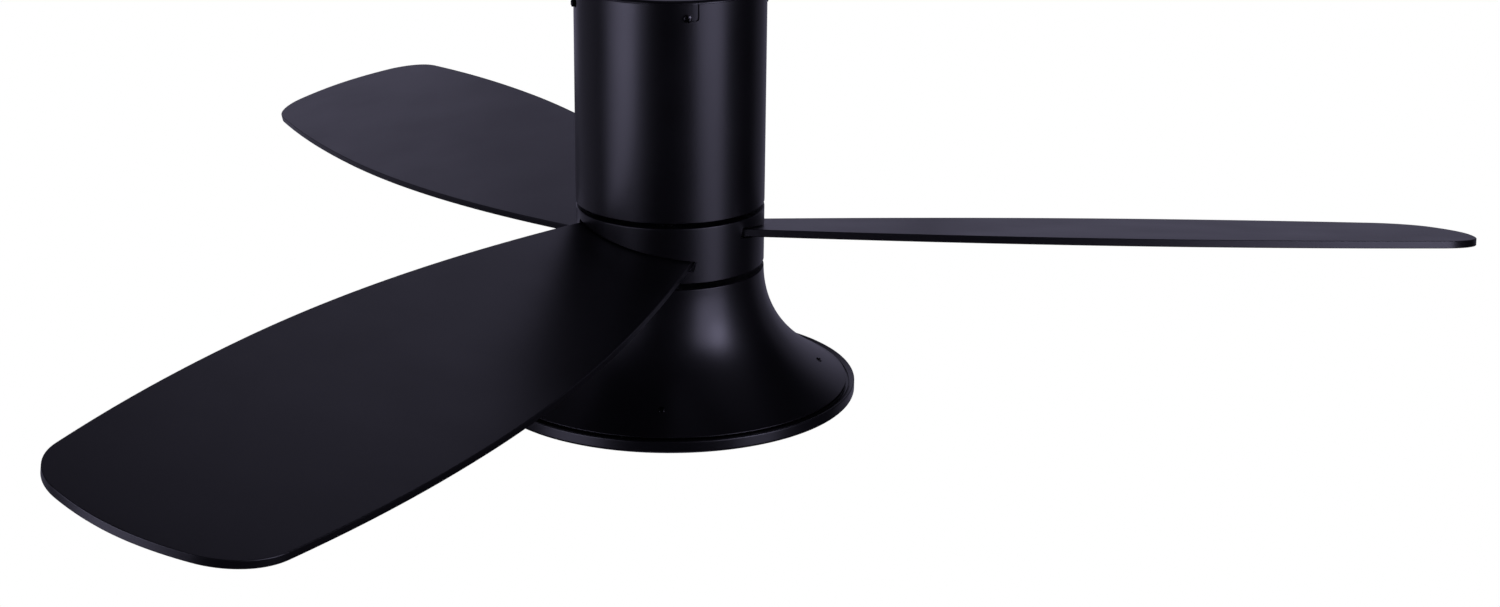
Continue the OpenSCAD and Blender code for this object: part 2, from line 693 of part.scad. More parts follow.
ceiling_plate();
motor_yoke();
yoke_bolts();
ground_screw();
housing();
housing_screws();
motor_shaft();
shaft_nuts();
shaft_split_pin();
stator_core();
stator_windings();
upper_bearing_inner_race();
upper_bearing_balls();
upper_bearing_cage();
upper_bearing_outer_race();
lower_bearing_inner_race();
lower_bearing_balls();
lower_bearing_cage();
lower_bearing_outer_race();
rotor_top_cover();
rotor_bottom_cover();
rotor_ring();
rotor_magnets();
rotor_bolts();
blade_carrier();
carrier_screws();
hub_band();
band_screws();
blade_1();
blade_2();
blade_3();
blade_clamp_plates();
blade_screws();
receiver_case();
receiver_lid();
receiver_board();
supply_leads();
wire_nuts();
motor_leads();
light_harness();
harness_plug();
harness_socket();
light_bracket();
bracket_screws();
light_bell();
bell_screws();
led_tray();
led_board();
led_chips();
led_driver();
driver_leads();
trim_ring();
tray_screws();
diffuser();
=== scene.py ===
"""Looks of a flush-mount ceiling fan with a light: satin black metal, moulded blades, an opal lens."""
import math

import bmesh
import bpy
from mathutils import Matrix, Vector


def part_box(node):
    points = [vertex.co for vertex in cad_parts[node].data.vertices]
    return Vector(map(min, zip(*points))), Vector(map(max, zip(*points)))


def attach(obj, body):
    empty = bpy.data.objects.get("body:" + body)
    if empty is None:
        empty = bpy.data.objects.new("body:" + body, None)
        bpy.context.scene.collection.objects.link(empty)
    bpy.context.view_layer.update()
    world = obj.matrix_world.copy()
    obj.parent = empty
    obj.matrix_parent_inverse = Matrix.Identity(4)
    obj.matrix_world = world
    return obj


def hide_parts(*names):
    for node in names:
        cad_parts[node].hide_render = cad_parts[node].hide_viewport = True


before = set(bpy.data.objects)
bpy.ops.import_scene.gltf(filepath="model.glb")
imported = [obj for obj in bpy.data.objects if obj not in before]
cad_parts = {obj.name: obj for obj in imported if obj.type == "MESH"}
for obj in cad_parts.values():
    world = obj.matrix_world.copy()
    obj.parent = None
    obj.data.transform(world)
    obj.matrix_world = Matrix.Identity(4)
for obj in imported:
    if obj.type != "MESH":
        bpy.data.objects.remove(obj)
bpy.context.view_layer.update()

# ---------------------------------------------------------------- sizes in metres

MM = 0.001


def low(node):
    """The lowest corner of a CAD node's box."""
    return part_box(node)[0]


def high(node):
    """The highest corner of a CAD node's box."""
    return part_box(node)[1]


RIM_Z = low("housing").z
HOUSING_TOP = high("housing").z
HOUSING_R = high("housing").x
SHEET = 1.2 * MM
BAND_TOP = high("hub_band").z
BAND_LOW = low("hub_band").z
BELL_TOP = high("light_bell").z
BELL_EDGE_RISE = 1.31 * MM      # the bell's outer edge lies this much above its inner one
BELL_LOW = low("light_bell").z + BELL_EDGE_RISE
BELL_R = high("light_bell").x
RING_TOP = high("trim_ring").z
RING_LOW = low("trim_ring").z
RING_R = high("trim_ring").x
LENS_LOW = low("diffuser").z
LENS_R = high("diffuser").x

BLADES = 3
BLADE_TURN = math.radians(1.4)      # of the first blade, from +X
BLADE_PITCH = math.radians(11.4)
BLADE_DROOP = math.radians(0.97)
BLADE_DROP = 24.2 * MM              # from the housing's rim down to the blades' middle, at the axis
BLADE_T = 6 * MM
BLADE_HALF = 100.2 * MM             # half the greatest width
BLADE_WIDE_R = 420 * MM             # where a blade is widest
TIP_R = 660.3 * MM
ROOT_R = 36 * MM

QUARTER = math.pi / 2
SCREW_TURN = math.radians(-80.3)    # of the first housing screw
SCREW_Z = -13.1 * MM
BAYONET_STEP = math.radians(5)      # from a slot's leg to its foot
SAME_POINT = 1e-6

# ---------------------------------------------------------------- mesh helpers


def add_object(name, data):
    obj = bpy.data.objects.new(name, data)
    bpy.context.scene.collection.objects.link(obj)
    return obj


def mesh_object(name, verts, faces, smooth=True):
    mesh = bpy.data.meshes.new(name)
    mesh.from_pydata([tuple(v) for v in verts], [], faces)
    mesh.validate()
    obj = add_object(name, mesh)
    tidy_mesh(obj)
    if smooth:
        mesh.shade_smooth()
    return obj


def tidy_mesh(obj):
    """Merges points at the same place and turns all faces outwards."""
    bm = bmesh.new()
    bm.from_mesh(obj.data)
    bmesh.ops.remove_doubles(bm, verts=bm.verts, dist=SAME_POINT)
    bmesh.ops.recalc_face_normals(bm, faces=bm.faces)
    bm.to_mesh(obj.data)
    bm.free()


def arc(cx, cz, r, start, end, steps):
    """Points of an arc in a profile, angles in degrees from the outward radius towards +Z."""
    out = []
    for i in range(steps + 1):
        a = math.radians(start + (end - start) * i / steps)
        out.append((cx + r * math.cos(a), cz + r * math.sin(a)))
    return out


def rounded(corners, steps=5):
    """A closed profile from corners (r, z, fillet radius): each corner becomes an arc."""
    out = []
    n = len(corners)
    for i, (x, z, fillet) in enumerate(corners):
        here = Vector((x, z))
        if fillet <= 0:
            out.append((x, z))
            continue
        before = Vector(corners[i - 1][:2]) - here
        after = Vector(corners[(i + 1) % n][:2]) - here
        half = before.angle(after) / 2
        reach = min(fillet / math.tan(half), before.length * 0.49, after.length * 0.49)
        radius = reach * math.tan(half)
        middle = (before.normalized() + after.normalized()).normalized()
        centre = here + middle * (radius / math.sin(half))
        a = here + before.normalized() * reach - centre
        b = here + after.normalized() * reach - centre
        turn = math.atan2(a.x * b.y - a.y * b.x, a.dot(b))
        for k in range(steps + 1):
            w = turn * k / steps
            out.append((centre.x + a.x * math.cos(w) - a.y * math.sin(w),
                        centre.y + a.x * math.sin(w) + a.y * math.cos(w)))
    return out


def lathe(name, profile, segments, closed=True):
    """Turns a profile of (r, z) about the fan's axis."""
    verts = []
    for j in range(segments):
        a = 2 * math.pi * j / segments
        verts += [(r * math.cos(a), r * math.sin(a), z) for r, z in profile]
    n = len(profile)
    faces = []
    for j in range(segments):
        k = (j + 1) % segments
        for i in range(n if closed else n - 1):
            m = (i + 1) % n
            faces.append((j * n + i, k * n + i, k * n + m, j * n + m))
    return mesh_object(name, verts, faces)


def prism(name, outline, depth, place):
    """A solid: a flat outline of (u, v) pushed along its normal, then placed by a matrix."""
    n = len(outline)
    verts = [(u, v, 0) for u, v in outline] + [(u, v, depth) for u, v in outline]
    faces = [tuple(reversed(range(n))), tuple(range(n, 2 * n))]
    faces += [(i, (i + 1) % n, n + (i + 1) % n, n + i) for i in range(n)]
    return mesh_object(name, [place @ Vector(v) for v in verts], faces, smooth=False)


def circle_outline(r, n=32):
    return [(r * math.cos(2 * math.pi * i / n), r * math.sin(2 * math.pi * i / n)) for i in range(n)]


def turned(angle):
    return Matrix.Rotation(angle, 4, "Z")


def moved(x, y, z):
    return Matrix.Translation((x, y, z))


# turns a prism so that u runs along +Y, v along +Z and its depth along +X
RADIAL = Matrix(((0, 0, 1, 0), (1, 0, 0, 0), (0, 1, 0, 0), (0, 0, 0, 1)))


def bake(obj):
    """Replaces an object's mesh by what its modifiers make of it."""
    graph = bpy.context.evaluated_depsgraph_get()
    mesh = bpy.data.meshes.new_from_object(obj.evaluated_get(graph))
    old = obj.data
    obj.modifiers.clear()
    obj.data = mesh
    bpy.data.meshes.remove(old)


def carve(obj, cutters):
    """Takes the cutters out of an object and removes them."""
    for cutter in cutters:
        cut = obj.modifiers.new("cut", "BOOLEAN")
        cut.operation = "DIFFERENCE"
        cut.solver = "EXACT"
        cut.object = cutter
    bpy.context.view_layer.update()
    bake(obj)
    for cutter in cutters:
        bpy.data.objects.remove(cutter)


def even_shading(obj, angle):
    """Smooth shading that keeps the corners sharper than the angle, in degrees."""
    obj.data.shade_smooth()
    smooth = obj.modifiers.new("weighted", "WEIGHTED_NORMAL")
    smooth.keep_sharp = True
    bm = bmesh.new()
    bm.from_mesh(obj.data)
    for e in bm.edges:
        if len(e.link_faces) == 2 and e.calc_face_angle() > math.radians(angle):
            e.smooth = False
    bm.to_mesh(obj.data)
    bm.free()


def join(name, objects):
    """One object from several plain meshes."""
    bm = bmesh.new()
    for obj in objects:
        bm.from_mesh(obj.data)
        bpy.data.objects.remove(obj)
    mesh = bpy.data.meshes.new(name)
    bm.to_mesh(mesh)
    bm.free()
    return add_object(name, mesh)


def bezier(p, t):
    """The point at t, from 0 to 1, of the curve with the four control points p."""
    a, b, c, d = [Vector(q) for q in p]
    return a * (1 - t) ** 3 + 3 * b * (1 - t) ** 2 * t + 3 * c * (1 - t) * t * t + d * t ** 3


# ---------------------------------------------------------------- materials


NOISE_LOW = 0.3         # nearly all of a noise lies between these two
NOISE_HIGH = 0.7


class Nodes:
    """Short names for building a node tree."""

    def __init__(self, name):
        self.mat = bpy.data.materials.new(name)
        self.mat.use_nodes = True
        self.tree = self.mat.node_tree
        self.tree.nodes.clear()
        self.out = self.add("ShaderNodeOutputMaterial")
        self.shader = self.add("ShaderNodeBsdfPrincipled")
        self.link(self.shader.outputs["BSDF"], self.out.inputs["Surface"])
        self.where = self.add("ShaderNodeTexCoord").outputs["Object"]

    def add(self, kind):
        return self.tree.nodes.new(kind)

    def link(self, a, b):
        self.tree.links.new(a, b)

    def set(self, **values):
        for key, value in values.items():
            self.shader.inputs[key.replace("_", " ")].default_value = value

    def noise(self, scale, detail, rough=0.5, stretch=None):
        node = self.add("ShaderNodeTexNoise")
        node.inputs["Scale"].default_value = scale
        node.inputs["Detail"].default_value = detail
        node.inputs["Roughness"].default_value = rough
        source = self.where
        if stretch:
            fit = self.add("ShaderNodeMapping")
            fit.inputs["Scale"].default_value = stretch
            self.link(source, fit.inputs["Vector"])
            source = fit.outputs["Vector"]
        self.link(source, node.inputs["Vector"])
        return node.outputs["Fac"]

    def spread(self, value, lowest, highest):
        """Maps a noise to the range from lowest to highest."""
        node = self.add("ShaderNodeMapRange")
        self.link(value, node.inputs["Value"])
        node.inputs["From Min"].default_value = NOISE_LOW
        node.inputs["From Max"].default_value = NOISE_HIGH
        node.inputs["To Min"].default_value = lowest
        node.inputs["To Max"].default_value = highest
        return node.outputs["Result"]

    def blend(self, factor, a, b):
        node = self.add("ShaderNodeMix")
        node.data_type = "RGBA"
        self.link(factor, node.inputs["Factor"])
        for socket, colour in zip([s for s in node.inputs if s.type == "RGBA"], (a, b)):
            socket.default_value = (*colour, 1)
        return next(s for s in node.outputs if s.type == "RGBA")

    def bump(self, height, depth):
        node = self.add("ShaderNodeBump")
        node.inputs["Distance"].default_value = depth
        node.inputs["Strength"].default_value = 1.0
        self.link(height, node.inputs["Height"])
        return node.outputs["Normal"]

    def colour(self, socket):
        self.link(socket, self.shader.inputs["Base Color"])

    def roughness(self, socket):
        self.link(socket, self.shader.inputs["Roughness"])

    def normal(self, socket):
        self.link(socket, self.shader.inputs["Normal"])


def satin_paint(name, dark, light, rough=(0.31, 0.35), peel=0.01 * MM):
    """Sprayed satin paint: fine orange peel, faint clouding of gloss and a little tone variation."""
    n = Nodes(name)
    cloud = n.noise(14, 3)
    n.colour(n.blend(n.spread(n.noise(30, 4), 0, 1), dark, light))
    n.roughness(n.spread(cloud, *rough))
    n.normal(n.bump(n.noise(700, 2), peel))
    return n.mat


def metal(name, dark, light, rough=(0.25, 0.4), scale=500, stretch=None, depth=0.008 * MM):
    """Bare metal, whose grain varies its gloss and may be stretched along an axis."""
    n = Nodes(name)
    grain = n.noise(scale, 4, 0.6, stretch)
    n.colour(n.blend(n.spread(n.noise(60, 3), 0, 1), dark, light))
    n.roughness(n.spread(grain, *rough))
    n.normal(n.bump(grain, depth))
    n.set(Metallic=1.0)
    return n.mat


def plastic(name, dark, light, rough, scale=900, depth=0.015 * MM):
    """Moulded plastic or lacquer with a fine grain."""
    n = Nodes(name)
    grain = n.noise(scale, 3)
    n.colour(n.blend(n.spread(n.noise(45, 3), 0, 1), dark, light))
    n.roughness(n.spread(grain, *rough))
    n.normal(n.bump(grain, depth))
    return n.mat


DARKEST = ((0.0006, 0.0006, 0.0008), (0.0012, 0.0012, 0.0014))
DULL = (0.5, 0.62)


def oxide_black(name):
    """Blackened steel with hardly any gloss."""
    n = Nodes(name)
    n.colour(n.blend(n.spread(n.noise(60, 3), 0, 1), *DARKEST))
    n.roughness(n.spread(n.noise(200, 2), *DULL))
    n.set(Specular_IOR_Level=0.06)
    return n.mat


BLACK = satin_paint("satin_black_paint", (0.0012, 0.0011, 0.0015), (0.0018, 0.0017, 0.0023))
BLADE_BLACK = satin_paint("satin_black_blade", (0.0028, 0.0026, 0.0033), (0.0036, 0.0034, 0.0042),
                          (0.32, 0.36), 0.014 * MM)
TRIM_BLACK = satin_paint("satin_black_trim", (0.0015, 0.0014, 0.002), (0.0022, 0.0021, 0.003), (0.28, 0.33))
SCREW_BLACK = satin_paint("blackened_screw", (0.0008, 0.0008, 0.001), (0.002, 0.002, 0.0024),
                          (0.17, 0.24), 0.008 * MM)
OXIDE_BLACK = oxide_black("black_oxide")
MOTOR_BLACK = satin_paint("motor_black_paint", *DARKEST, DULL)
ZINC = metal("zinc_plated", (0.46, 0.47, 0.49), (0.60, 0.61, 0.62))
STEEL = metal("rolled_steel", (0.33, 0.34, 0.36), (0.45, 0.46, 0.48), (0.3, 0.48), 240, (1, 1, 8))
POLISHED = metal("bearing_steel", (0.58, 0.58, 0.60), (0.66, 0.66, 0.68), (0.08, 0.14), 1500,
                 None, 0.001 * MM)
BRASS = metal("pressed_brass", (0.60, 0.42, 0.17), (0.72, 0.53, 0.25), (0.25, 0.38))
LAMINATION = metal("stacked_laminations", (0.22, 0.23, 0.25), (0.34, 0.35, 0.37), (0.4, 0.6), 1,
                   (3, 3, 2400), 0.05 * MM)
COPPER = metal("enamelled_copper", (0.52, 0.19, 0.07), (0.68, 0.29, 0.12), (0.18, 0.28), 900,
               (1, 1, 1), 0.02 * MM)
MAGNET = plastic("coated_magnet", (0.035, 0.036, 0.04), (0.06, 0.061, 0.066), (0.35, 0.5))
DARK_PLASTIC = plastic("dark_plastic", (0.022, 0.023, 0.027), (0.034, 0.035, 0.040), (0.45, 0.6), 1300,
                       0.03 * MM)
WHITE_PLASTIC = plastic("white_plastic", (0.74, 0.74, 0.71), (0.82, 0.82, 0.79), (0.35, 0.45))
BOARD_GREEN = plastic("circuit_board", (0.010, 0.085, 0.030), (0.018, 0.125, 0.045), (0.28, 0.4), 400,
                      0.01 * MM)
LED_BOARD = plastic("white_solder_mask", (0.80, 0.80, 0.77), (0.87, 0.87, 0.85), (0.3, 0.4))
PHOSPHOR = plastic("led_phosphor", (0.85, 0.60, 0.12), (0.93, 0.74, 0.22), (0.2, 0.3))
JACKET = plastic("black_wire_jacket", (0.018, 0.018, 0.020), (0.030, 0.030, 0.033), (0.45, 0.6))
WIRE_GREY = plastic("wire_insulation", (0.30, 0.30, 0.30), (0.40, 0.40, 0.40), (0.4, 0.5))
NUT_ORANGE = plastic("connector_orange", (0.55, 0.20, 0.03), (0.66, 0.28, 0.06), (0.35, 0.45))
GREEN = satin_paint("earth_green", (0.03, 0.22, 0.07), (0.05, 0.30, 0.10), (0.25, 0.35))


def opal_material():
    """Milky acrylic with a smooth skin."""
    n = Nodes("opal_acrylic")
    n.colour(n.blend(n.spread(n.noise(8, 2), 0, 1), (0.84, 0.84, 0.81), (0.89, 0.89, 0.87)))
    n.roughness(n.spread(n.noise(260, 2), 0.22, 0.28))
    n.normal(n.bump(n.noise(900, 2), 0.006 * MM))
    n.set(Subsurface_Weight=0.35, Subsurface_Scale=4 * MM, Coat_Weight=0.25, Coat_Roughness=0.12)
    n.shader.inputs["Subsurface Radius"].default_value = (1.0, 0.9, 0.8)
    return n.mat


OPAL = opal_material()

CAD_LOOKS = {
    STEEL: ("motor_yoke",),
    ZINC: ("yoke_bolts", "motor_shaft", "shaft_nuts", "shaft_split_pin", "rotor_bolts", "carrier_screws",
           "blade_clamp_plates", "light_bracket", "bracket_screws", "tray_screws"),
    GREEN: ("ground_screw",),
    LAMINATION: ("stator_core",),
    COPPER: ("stator_windings",),
    POLISHED: ("upper_bearing_inner_race", "upper_bearing_balls", "upper_bearing_outer_race",
               "lower_bearing_inner_race", "lower_bearing_balls", "lower_bearing_outer_race"),
    BRASS: ("upper_bearing_cage", "lower_bearing_cage"),
    MOTOR_BLACK: ("rotor_top_cover", "rotor_bottom_cover", "rotor_ring", "blade_carrier"),
    MAGNET: ("rotor_magnets",),
    OXIDE_BLACK: ("band_screws",),
    SCREW_BLACK: ("blade_screws",),
    DARK_PLASTIC: ("receiver_case", "receiver_lid"),
    BOARD_GREEN: ("receiver_board",),
    WIRE_GREY: ("supply_leads",),
    NUT_ORANGE: ("wire_nuts",),
    JACKET: ("motor_leads", "light_harness", "driver_leads"),
    WHITE_PLASTIC: ("harness_plug", "harness_socket", "led_driver"),
    BLACK: ("led_tray",),
    LED_BOARD: ("led_board",),
    PHOSPHOR: ("led_chips",),
}


def dress(obj, material):
    """Gives an object this one material."""
    obj.data.materials.clear()
    obj.data.materials.append(material)


def finish_piece(obj, material, body, slot, *nodes):
    """The last steps for a new piece: its material, its body and the CAD nodes it replaces. The slot is not
    used.
    """
    dress(obj, material)
    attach(obj, body)
    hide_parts(*nodes)


for look, node_names in CAD_LOOKS.items():
    for node_name in node_names:
        dress(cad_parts[node_name], look)

# ---------------------------------------------------------------- housing and ceiling plate


RIM_EASE = 0.55 * MM        # rounding of the sheet's rims
FINE = 256                  # steps round the axis of the large visible shells
SCREWS_ROUND = 4


def bayonet_outline():
    """The L-shaped slot, seen from outside: u to the right of the leg, v up from the screw's height."""
    half = 2.5 * MM
    past_rim = 20 * MM
    foot = HOUSING_R * math.sin(BAYONET_STEP)
    leg_turn = [math.radians(x) for x in range(0, 91, 10)]
    foot_turn = [math.radians(x) for x in range(90, 271, 10)]
    out = [(-half, past_rim), (half, past_rim)]
    out += [(half * math.cos(a), -half * math.sin(a)) for a in leg_turn]
    out += [(-foot + half * math.cos(a), -half * math.sin(a)) for a in foot_turn]
    out += [(-half, half)]
    return out


def make_housing():
    inner = HOUSING_R - SHEET
    corners = [(inner, RIM_Z, RIM_EASE), (HOUSING_R, RIM_Z, RIM_EASE),
               (HOUSING_R, HOUSING_TOP, RIM_EASE), (inner, HOUSING_TOP, RIM_EASE)]
    shell = lathe("housing_shell", rounded(corners), FINE)
    cut_depth = 8 * MM
    cutters = []
    for k in range(SCREWS_ROUND):
        leg = turned(SCREW_TURN + k * QUARTER + BAYONET_STEP)
        place = leg @ moved(HOUSING_R - cut_depth / 2, 0, SCREW_Z) @ RADIAL
        cutters.append(prism("slot_cutter", bayonet_outline(), cut_depth, place))
    carve(shell, cutters)
    even_shading(shell, 40)
    finish_piece(shell, BLACK, "root", "black_metal", "housing")


def phillips_screw(place, head_r, head_h, dome, shank_r, shank):
    """A domed pan head with a cross recess, its seat at z = 0 and its axis along z."""
    edge = head_h - dome
    dome_r = head_r * 0.93
    profile = [(0.0, head_h)]
    steps = 8
    for i in range(1, steps + 1):
        x = i / steps
        profile.append((dome_r * x, head_h - dome * 0.9 * x * x))
    profile += arc(dome_r, edge - 0.02 * head_h, head_r * 0.07, 80, 0, 3)
    profile += [(head_r, 0.12 * head_h), (head_r * 0.97, 0.0)]
    profile += [(shank_r, 0.0), (shank_r, -shank + 0.3 * shank_r), (shank_r * 0.7, -shank), (0.0, -shank)]
    head = lathe("head", profile, 40, closed=False)
    arm = head_r * 0.56
    wide = head_r * 0.17
    recess_turn = 0.3
    recess_floor = head_h * 0.42
    outline = [(-arm, -wide), (arm, -wide), (arm, wide), (-arm, wide)]
    cutters = []
    for a in (0, QUARTER):
        place_arm = turned(a + recess_turn) @ moved(0, 0, recess_floor)
        cutters.append(prism("cross_cutter", outline, head_h, place_arm))
    carve(head, cutters)
    head.data.transform(place)
    return head


def make_housing_screws():
    seat = HOUSING_R + 0.2 * MM
    heads = []
    for k in range(SCREWS_ROUND):
        place = turned(SCREW_TURN + k * QUARTER) @ moved(seat, 0, SCREW_Z) @ RADIAL
        heads.append(phillips_screw(place, head_r=3.1 * MM, head_h=2.55 * MM, dome=0.9 * MM,
                                    shank_r=2 * MM, shank=9.5 * MM))
    screws = join("housing_screw_set", heads)
    even_shading(screws, 40)
    finish_piece(screws, SCREW_BLACK, "root", "black_screw", "housing_screws")


PLATE_T = 1.8 * MM
PLATE_CURL = 3 * MM         # radius of the plate's rolled edge
WIRE_HOLE_R = 20 * MM
BOLT_X = 60 * MM            # the yoke bolts' heads lie in pockets of the plate
BOLT_Y = 10 * MM
BOLT_POCKET_R = 4.6 * MM
SKIRT_R = high("ceiling_plate").x
SKIRT_LOW = low("ceiling_plate").z


def slot_outline(half, r, along_y=False):
    """A slot with round ends, half its length to each side of the middle."""
    out = []
    for side, start in ((1, -90), (-1, 90)):
        for i in range(13):
            a = math.radians(start + 15 * i)
            out.append((side * (half - r) + r * math.cos(a), r * math.sin(a)))
    return [(-v, u) for u, v in out] if along_y else out


def make_ceiling_plate():
    inner_end = WIRE_HOLE_R - 2 * MM        # the wire hole's cutter trims it to size
    bend = SKIRT_R - PLATE_CURL
    outer = arc(bend, -PLATE_CURL, PLATE_CURL, 90, 0, 10)
    inner = arc(bend, -PLATE_CURL, PLATE_CURL - SHEET, 0, 90, 8)
    ease = 0.3 * MM
    skirt_inner = SKIRT_R - SHEET
    skirt_end = [(SKIRT_R, SKIRT_LOW + ease), (SKIRT_R - ease, SKIRT_LOW), (skirt_inner + ease, SKIRT_LOW),
                 (skirt_inner, SKIRT_LOW + ease)]
    under_face = [(SKIRT_R - 8 * MM, -PLATE_T), (inner_end, -PLATE_T)]
    profile = [(inner_end, 0.0)] + outer + skirt_end + inner + under_face
    plate = lathe("ceiling_plate_pressing", profile, 192)
    below = moved(0, 0, -PLATE_T - MM)
    deep = PLATE_T + 2 * MM
    big_box_y, small_box_x = 44.5 * MM, 35 * MM
    slot_r = 2.6 * MM
    cutters = [prism("hole", circle_outline(WIRE_HOLE_R, 96), deep, below)]
    for s in (-1, 1):
        big = slot_outline(7 * MM, slot_r, True)
        small = slot_outline(5 * MM, slot_r)
        cutters.append(prism("slot", big, deep, moved(0, s * big_box_y, 0) @ below))
        cutters.append(prism("slot", small, deep, moved(s * small_box_x, 0, 0) @ below))
    for x in (-1, 1):
        for y in (-1, 1):
            pocket = moved(x * BOLT_X, y * BOLT_Y, 0) @ moved(0, 0, -MM)
            cutters.append(prism("hole", circle_outline(BOLT_POCKET_R, 48), 2 * MM, pocket))
    side_hole_r, side_hole_deep = 2.05 * MM, 12 * MM
    for k in range(SCREWS_ROUND):
        place = turned(SCREW_TURN + k * QUARTER) @ moved(SKIRT_R - side_hole_deep / 2, 0, SCREW_Z) @ RADIAL
        cutters.append(prism("hole", circle_outline(side_hole_r), side_hole_deep, place))
    carve(plate, cutters)
    even_shading(plate, 35)
    finish_piece(plate, TRIM_BLACK, "root", "black_metal", "ceiling_plate")


make_housing()
make_housing_screws()
make_ceiling_plate()

# ---------------------------------------------------------------- hub band and blades


def blade_frame(i):
    """Where a blade sits: its length along x, pitched, drooped and turned to its place."""
    return (turned(BLADE_TURN + i * 2 * math.pi / BLADES) @ moved(0, 0, RIM_Z - BLADE_DROP)
            @ Matrix.Rotation(BLADE_DROOP, 4, "Y") @ Matrix.Rotation(-BLADE_PITCH, 4, "X"))


def blade_side():
    """Half outline of a blade, from its inner end to its tip: (along, half-width)."""
    wide = BLADE_HALF
    widest = (BLADE_WIDE_R, wide)
    shoulder = (612 * MM, wide * 0.874)
    corner = (TIP_R - 7.4 * MM, 50 * MM)
    runs = (
        (((ROOT_R + 8 * MM, 47.2 * MM), (165 * MM, 78 * MM), (290 * MM, wide), widest), 40),
        ((widest, (500 * MM, wide), (560 * MM, wide * 0.944), shoulder), 22),
        ((shoulder, (633 * MM, 84.8 * MM), (TIP_R - 12.4 * MM, 68 * MM), corner), 24),
        ((corner, (TIP_R - 3.4 * MM, 36 * MM), (TIP_R, 18 * MM), (TIP_R, 0.0)), 12),
    )
    root_corner = ((ROOT_R, 41 * MM), (ROOT_R + 1.2 * MM, 44 * MM), (ROOT_R + 4 * MM, 46 * MM))
    out = [Vector(point) for point in root_corner]
    for points, count in runs:
        out += [bezier(points, k / count) for k in range(count)]
    return out


def make_blade(i):
    """A flat moulded plate whose edges are eased all round."""
    side = blade_side()
    loop = side + [Vector((TIP_R, 0.0))] + [Vector((p.x, -p.y)) for p in reversed(side)]
    n = len(loop)
    ease = 0.6 * MM
    steps = 5
    inward = []
    for k in range(n):
        along = (loop[(k + 1) % n] - loop[k - 1]).normalized()
        inward.append(Vector((along.y, -along.x)))
    rings = []
    for z_side in (1, -1):
        angles = [90 * m / steps for m in range(steps + 1)]
        if z_side < 0:
            angles.reverse()
        for a in angles:
            w = math.radians(a)
            inset = ease * (1 - math.sin(w))
            z = z_side * (BLADE_T / 2 - ease * (1 - math.cos(w)))
            rings.append([(p.x + q.x * inset, p.y + q.y * inset, z) for p, q in zip(loop, inward)])
    verts = [v for ring in rings for v in ring]
    faces = []
    for r in range(len(rings) - 1):
        for k in range(n):
            m = (k + 1) % n
            faces.append((r * n + k, r * n + m, (r + 1) * n + m, (r + 1) * n + k))
    last = (len(rings) - 1) * n
    for k in range(n // 2):
        if n - 2 - k > k + 1:
            faces.append((k, k + 1, n - 2 - k, n - 1 - k))
            faces.append((last + n - 1 - k, last + n - 2 - k, last + k + 1, last + k))
        elif n - 2 - k == k + 1:
            faces.append((k, k + 1, n - 1 - k))
            faces.append((last + n - 1 - k, last + k + 1, last + k))
    blade = mesh_object(f"blade_skin_{i + 1}", verts, faces)
    hole_r, hole_deep = 2.75 * MM, 12 * MM
    screws_mm = ((45, 0), (60, -24), (60, 24))
    holes = [prism("hole", circle_outline(hole_r), hole_deep, moved(x * MM, y * MM, -hole_deep / 2))
             for x, y in screws_mm]
    carve(blade, holes)
    blade.data.transform(blade_frame(i))
    even_shading(blade, 40)
    finish_piece(blade, BLADE_BLACK, "rotor", "black_blade", f"blade_{i + 1}")


def make_hub_band():
    """A drum with a flange inside its top and a slot for each blade."""
    inner = HOUSING_R - 1.4 * MM
    flange_r = 62 * MM
    flange_low = BAND_TOP - 1.5 * MM
    flange_ease = 0.3 * MM
    corners = [(inner, BAND_LOW, RIM_EASE), (HOUSING_R, BAND_LOW, RIM_EASE),
               (HOUSING_R, BAND_TOP, RIM_EASE * 1.8), (flange_r, BAND_TOP, flange_ease),
               (flange_r, flange_low, flange_ease), (inner, flange_low, 0)]
    band = lathe("hub_band_shell", rounded(corners), FINE)
    half_u = 53.8 * MM                      # half the slot's length
    half_v = BLADE_T / 2 + 1.4 * MM         # half its height: the blade and a gap above and below
    slot_corners = ((-half_u, -half_v), (half_u, -half_v), (half_u, half_v), (-half_u, half_v))
    outline = rounded([(u, v, 1 * MM) for u, v in slot_corners], 4)
    cut_from, cut_deep = 30 * MM, 60 * MM
    cutters = []
    for i in range(BLADES):
        place = blade_frame(i) @ moved(cut_from, 0, 0) @ RADIAL
        cutters.append(prism("blade_slot", outline, cut_deep, place))
    carve(band, cutters)
    even_shading(band, 40)
    finish_piece(band, BLACK, "rotor", "black_metal", "hub_band")


make_hub_band()
for blade_index in range(BLADES):
    make_blade(blade_index)

# ---------------------------------------------------------------- light: bell, trim ring, lens

BELL_WALL = 1.5 * MM
# four control points of the bell's outer curve, from its top to its lower edge
BELL_CURVE = ((HOUSING_R, BELL_TOP), (HOUSING_R + 0.4 * MM, BELL_TOP - 50.2 * MM),
              (BELL_R - 35.8 * MM, BELL_LOW + 20.1 * MM), (BELL_R, BELL_LOW))
BELL_SCREW_AT = 0.78        # share of the curve from the top
BELL_SCREW_TURN = math.radians(-3)


def bell_slope(t):
    """The direction of the bell's outer curve at t, from short steps to both sides."""
    step = 0.01
    return (bezier(BELL_CURVE, min(t + step, 1)) - bezier(BELL_CURVE, max(t - step, 0))).normalized()


def bell_point(t, depth=0.0):
    """A point of the bell's curve, or as far inside it as depth says."""
    slope = bell_slope(t)
    return bezier(BELL_CURVE, t) + depth * Vector((slope.y, -slope.x))


